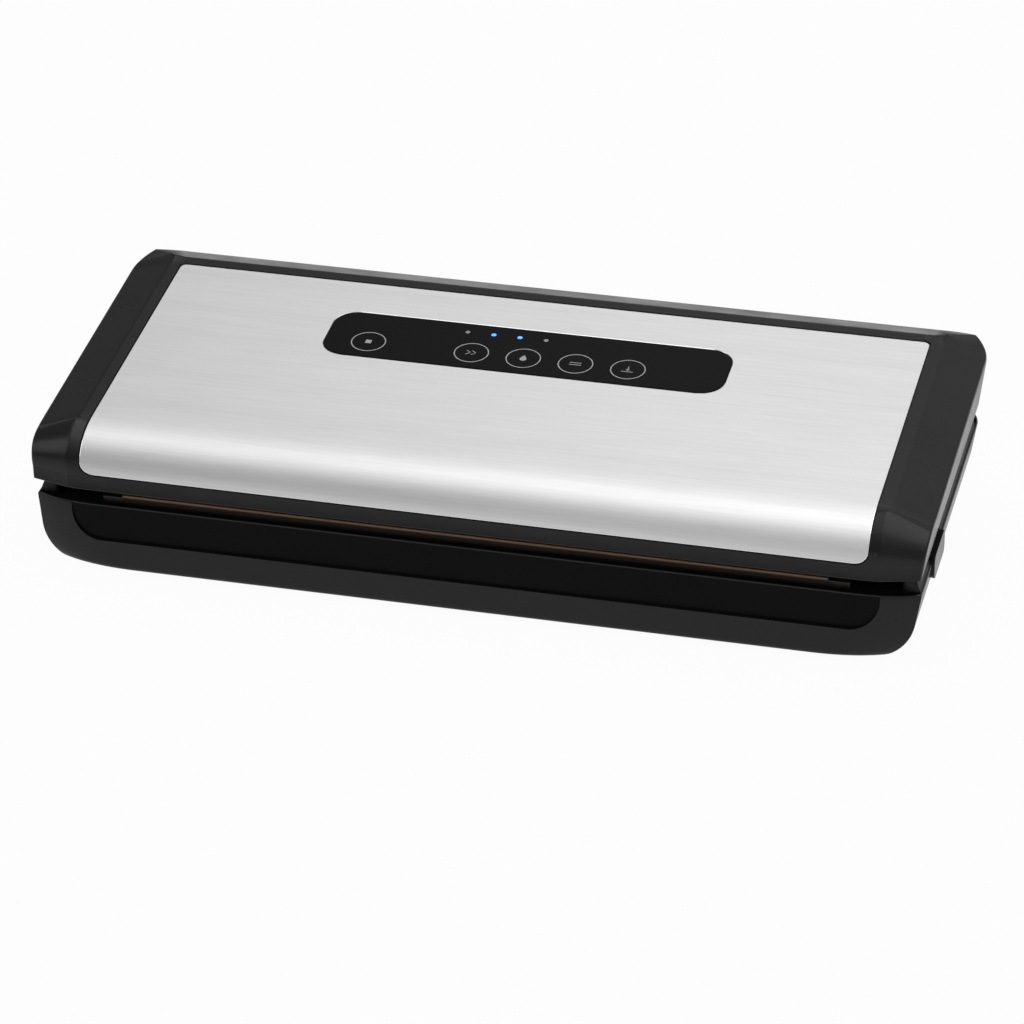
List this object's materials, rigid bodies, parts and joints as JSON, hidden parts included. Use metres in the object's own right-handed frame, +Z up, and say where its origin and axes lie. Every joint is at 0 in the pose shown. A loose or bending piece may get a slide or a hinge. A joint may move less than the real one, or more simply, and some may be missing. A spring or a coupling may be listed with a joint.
{
  "type": "vacuum sealer",
  "caption": "Countertop vacuum sealer with a hinged steel-topped lid, a row of round keys, a front seal bar, a vacuum trough and side release buttons.",
  "frame": {"origin": "middle of the footprint, on the surface that the feet stand on", "axes": "+X to the user's right along the seal bar, +Y from the front lip back to the hinge, +Z up"},
  "size_m": [0.384, 0.171, 0.0691],
  "materials": {
    "case": "black ABS with a fine satin grain",
    "steel_cover": "stainless sheet brushed along its length",
    "gloss_strip": "piano-black lens",
    "key_cap": "piano black with a pale printed ring",
    "lamp_off": "unlit indicator lens",
    "lamp_lit": "lit blue indicator lens",
    "foam": "closed-cell foam gasket",
    "foot_rubber": "dull moulded rubber",
    "silicone": "dull red-brown silicone strip",
    "ptfe_cloth": "tan coated glass cloth tape",
    "bakelite": "heat-resistant moulding",
    "heater_alloy": "flat resistance wire",
    "zinc_steel": "zinc-plated steel",
    "motor_can": "plain grey motor can",
    "clear_plastic": "clear soft tube and moulding",
    "winding": "varnished laminations and copper winding",
    "circuit_board": "green circuit board with dark components",
    "red_lead": "silicone-covered lead",
    "white_plastic": "natural white nylon"
  },
  "bodies": {
    "base": {"base_tub": "case", "base_deck": "case", "foot_front_left": "foot_rubber", "foot_front_right": "foot_rubber", "foot_rear_left": "foot_rubber", "foot_rear_right": "foot_rubber", "base_screw_1": "zinc_steel", "base_screw_2": "zinc_steel", "base_screw_3": "zinc_steel", "base_screw_4": "zinc_steel", "seal_bar": "bakelite", "heating_wire": "heater_alloy", "ptfe_tape": "ptfe_cloth", "lower_gasket": "foam", "vacuum_nozzle": "clear_plastic", "vacuum_hose": "clear_plastic", "pump_bracket": "zinc_steel", "pump_motor": "motor_can", "pump_head": "white_plastic", "transformer": "winding", "power_board": "circuit_board", "heater_lead_left": "red_lead", "heater_lead_right": "red_lead", "lid_switch": "case", "cord_gland": "foot_rubber", "release_spring_left": "zinc_steel", "release_spring_right": "zinc_steel", "hinge_pin_left": "zinc_steel", "hinge_pin_right": "zinc_steel"},
    "lid": {"lid_frame": "case", "steel_panel": "steel_cover", "lid_liner": "case", "upper_gasket": "foam", "press_strip": "silicone", "lid_screw_1": "zinc_steel", "lid_screw_2": "zinc_steel", "lid_screw_3": "zinc_steel", "lid_screw_4": "zinc_steel", "control_strip": "gloss_strip", "control_board": "circuit_board", "lid_ribbon": "white_plastic", "lid_hook_left": "case", "lid_hook_right": "case", "lamp_1": "lamp_off", "lamp_2": "lamp_lit", "lamp_3": "lamp_lit", "lamp_4": "lamp_off"},
    "stop_key": {"stop_key": "key_cap"},
    "speed_key": {"speed_key": "key_cap"},
    "food_key": {"food_key": "key_cap"},
    "seal_key": {"seal_key": "key_cap"},
    "vacuum_seal_key": {"vacuum_seal_key": "key_cap"},
    "release_left": {"release_button_left": "case", "latch_catch_left": "case"},
    "release_right": {"release_button_right": "case", "latch_catch_right": "case"},
    "switch_plunger": {"lid_switch_plunger": "white_plastic"},
    "pump_shaft": {"motor_shaft": "zinc_steel"}
  },
  "joints": [
    {"name": "lid_hinge", "type": "hinge", "parent": "base", "child": "lid", "pos_m": [0, 0.076, 0.0366], "axis": [-1, 0, 0], "range_deg": [0, 70]},
    {"name": "stop_key_press", "type": "slide", "parent": "lid", "child": "stop_key", "axis": [0, 0.046, -0.9989], "range_m": [0, 0.0005], "stiffness_N_per_m": 2000},
    {"name": "speed_key_press", "type": "slide", "parent": "lid", "child": "speed_key", "axis": [0, 0.046, -0.9989], "range_m": [0, 0.0005], "stiffness_N_per_m": 2000},
    {"name": "food_key_press", "type": "slide", "parent": "lid", "child": "food_key", "axis": [0, 0.046, -0.9989], "range_m": [0, 0.0005], "stiffness_N_per_m": 2000},
    {"name": "seal_key_press", "type": "slide", "parent": "lid", "child": "seal_key", "axis": [0, 0.046, -0.9989], "range_m": [0, 0.0005], "stiffness_N_per_m": 2000},
    {"name": "vacuum_seal_key_press", "type": "slide", "parent": "lid", "child": "vacuum_seal_key", "axis": [0, 0.046, -0.9989], "range_m": [0, 0.0005], "stiffness_N_per_m": 2000},
    {"name": "release_left_press", "type": "slide", "parent": "base", "child": "release_left", "axis": [1, 0, 0], "range_m": [0, 0.003], "stiffness_N_per_m": 1200, "deforming": ["release_spring_left"]},
    {"name": "release_right_press", "type": "slide", "parent": "base", "child": "release_right", "axis": [-1, 0, 0], "range_m": [0, 0.003], "stiffness_N_per_m": 1200, "deforming": ["release_spring_right"]},
    {"name": "lid_switch_press", "type": "slide", "parent": "base", "child": "switch_plunger", "axis": [0, 0, -1], "range_m": [0, 0.0015], "stiffness_N_per_m": 200},
    {"name": "pump_spin", "type": "hinge", "parent": "base", "child": "pump_shaft", "pos_m": [0.05, 0.03, 0.021], "axis": [1, 0, 0], "continuous": true}
  ]
}
